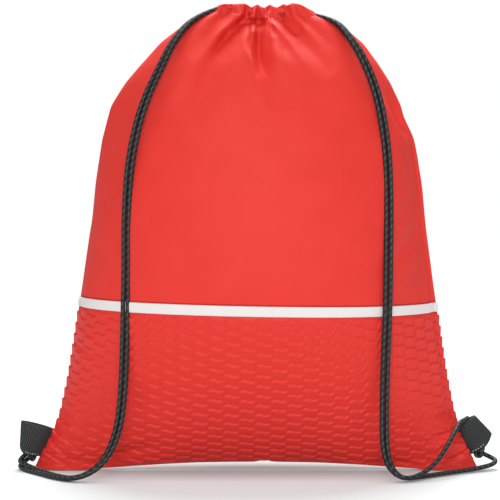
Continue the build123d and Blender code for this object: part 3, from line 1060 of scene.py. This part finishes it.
def tack_row(name, frame_ends):
    """Pale tacking thread along the lower edge of a loop's neck."""
    points = []
    faces = []
    for index in range(TACKS):
        middle = 0.0016 + index * TACK_PITCH
        first = len(points)
        for end, width in ((-0.5, 0.4), (-0.3, 1), (0.3, 1), (0.5, 0.4)):
            reach = TACK_R * width
            for turn in range(DASH_SIDES):
                angle = turn * math.pi / 3
                x, z = loop_place(frame_ends, middle + end * TACK_LONG, TACK_ACROSS)
                y = -np.interp(middle, [0, 0.0045, 0.011, 0.018], [0.0012, 0.0055, 0.0071, 0.0062])
                points.append((x, y + reach * math.sin(angle), z + reach * math.cos(angle)))
        faces += dash_walls(first)
    return add_mesh(name, np.array(points), faces, pale_thread)


for side_name, frame_ends, outward in (("left", LEFT_LOOP, -1), ("right", RIGHT_LOOP, 1)):
    loop = ribbon_loop(side_name + "_ribbon_loop", frame_ends, outward)
    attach(loop, side_name + "_tab")
    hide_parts(side_name + "_tab_ribbon")
    tacks = tack_row(side_name + "_tacking", frame_ends)
    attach(tacks, side_name + "_tab")
    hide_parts(side_name + "_tab_stitching")

# ---- what each cloth piece stands for

BAG_PIECES = [
    (front_lower, "front_lower_panel", "embossed_cloth"),
    (front_upper, "front_upper_panel", "red_cloth"),
    (back, "back_panel", "red_cloth"),
    (trim, "trim_tape", "white_tape"),
    (trim_dashes, "trim_stitching", "red_thread"),
    (casing_front, "front_casing", "red_cloth"),
    (casing_back, "back_casing", "red_cloth"),
]
for piece, node, slot in BAG_PIECES:
    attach(piece, "bag")
    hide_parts(node)

# ---- floor, light and camera

FLOOR_Z = -0.0004
floor_mesh = bpy.data.meshes.new("floor")
floor_corners = [(x, y, FLOOR_Z) for x, y in ((-4, -1.6), (4, -1.6), (4, 1.5), (-4, 1.5))]
floor_mesh.from_pydata(floor_corners, [], [(0, 1, 2, 3)])
# the floor's colour is tinted cyan to offset the red light that the bag throws onto it
floor_material, floor_shader = new_material("pale floor", (0.44, 0.50, 0.50), 0.6, specular=0.1)
# the floor glows a little as painted fill light, dimmed where the bag stands close above it as a
# painted contact shadow
shade = floor_material.node_tree.nodes.new("ShaderNodeAmbientOcclusion")
shade.inputs["Distance"].default_value = 0.045
floor_material.node_tree.links.new(shade.outputs["Color"], floor_shader.inputs["Emission Color"])
floor_shader.inputs["Emission Strength"].default_value = 0.37
floor_mesh.materials.append(floor_material)
floor = add_object("floor", floor_mesh)


def area_light(name, place, aim, size, power):
    """A round soft light at place, turned towards aim."""
    light = bpy.data.lights.new(name, "AREA")
    light.shape = "DISK"
    light.size = size
    light.energy = power
    lamp = add_object(name, light)
    lamp.location = place
    lamp.rotation_euler = (Vector(aim) - Vector(place)).to_track_quat("-Z", "Y").to_euler()


area_light("key", (-0.07, -1.85, 0.90), (0, 0, 0.20), 0.8, 25)
area_light("fill", (1.5, -1.7, 0.7), (0, 0, 0.18), 1.2, 2)
area_light("top", (0.1, 1.0, 2.2), (0, -0.1, 0), 1.3, 85)
world = bpy.data.worlds.new("studio")
world.use_nodes = True
world_nodes = world.node_tree.nodes
link = world.node_tree.links.new
world_light = world_nodes["Background"]
# the camera sees a whiter backdrop than the one that lights the bag
backdrop = world_nodes.new("ShaderNodeBackground")
for background, strength in ((world_light, 0.44), (backdrop, 1.0)):
    background.inputs["Color"].default_value = (1, 1, 1, 1)
    background.inputs["Strength"].default_value = strength
ray = world_nodes.new("ShaderNodeLightPath")
choose = world_nodes.new("ShaderNodeMixShader")
link(ray.outputs["Is Camera Ray"], choose.inputs["Fac"])
link(world_light.outputs["Background"], choose.inputs[1])
link(backdrop.outputs["Background"], choose.inputs[2])
link(choose.outputs["Shader"], world_nodes["World Output"].inputs["Surface"])
bpy.context.scene.world = world
bpy.context.scene.view_settings.view_transform = "Standard"

camera_data = bpy.data.cameras.new("camera")
camera_data.lens = 164.8
camera_data.shift_x = -0.012
camera = add_object("camera", camera_data)
camera.location = (0, -1.9, 0.30)
camera.rotation_euler = (math.radians(90 - 3.52), 0, 0)
bpy.context.scene.camera = camera
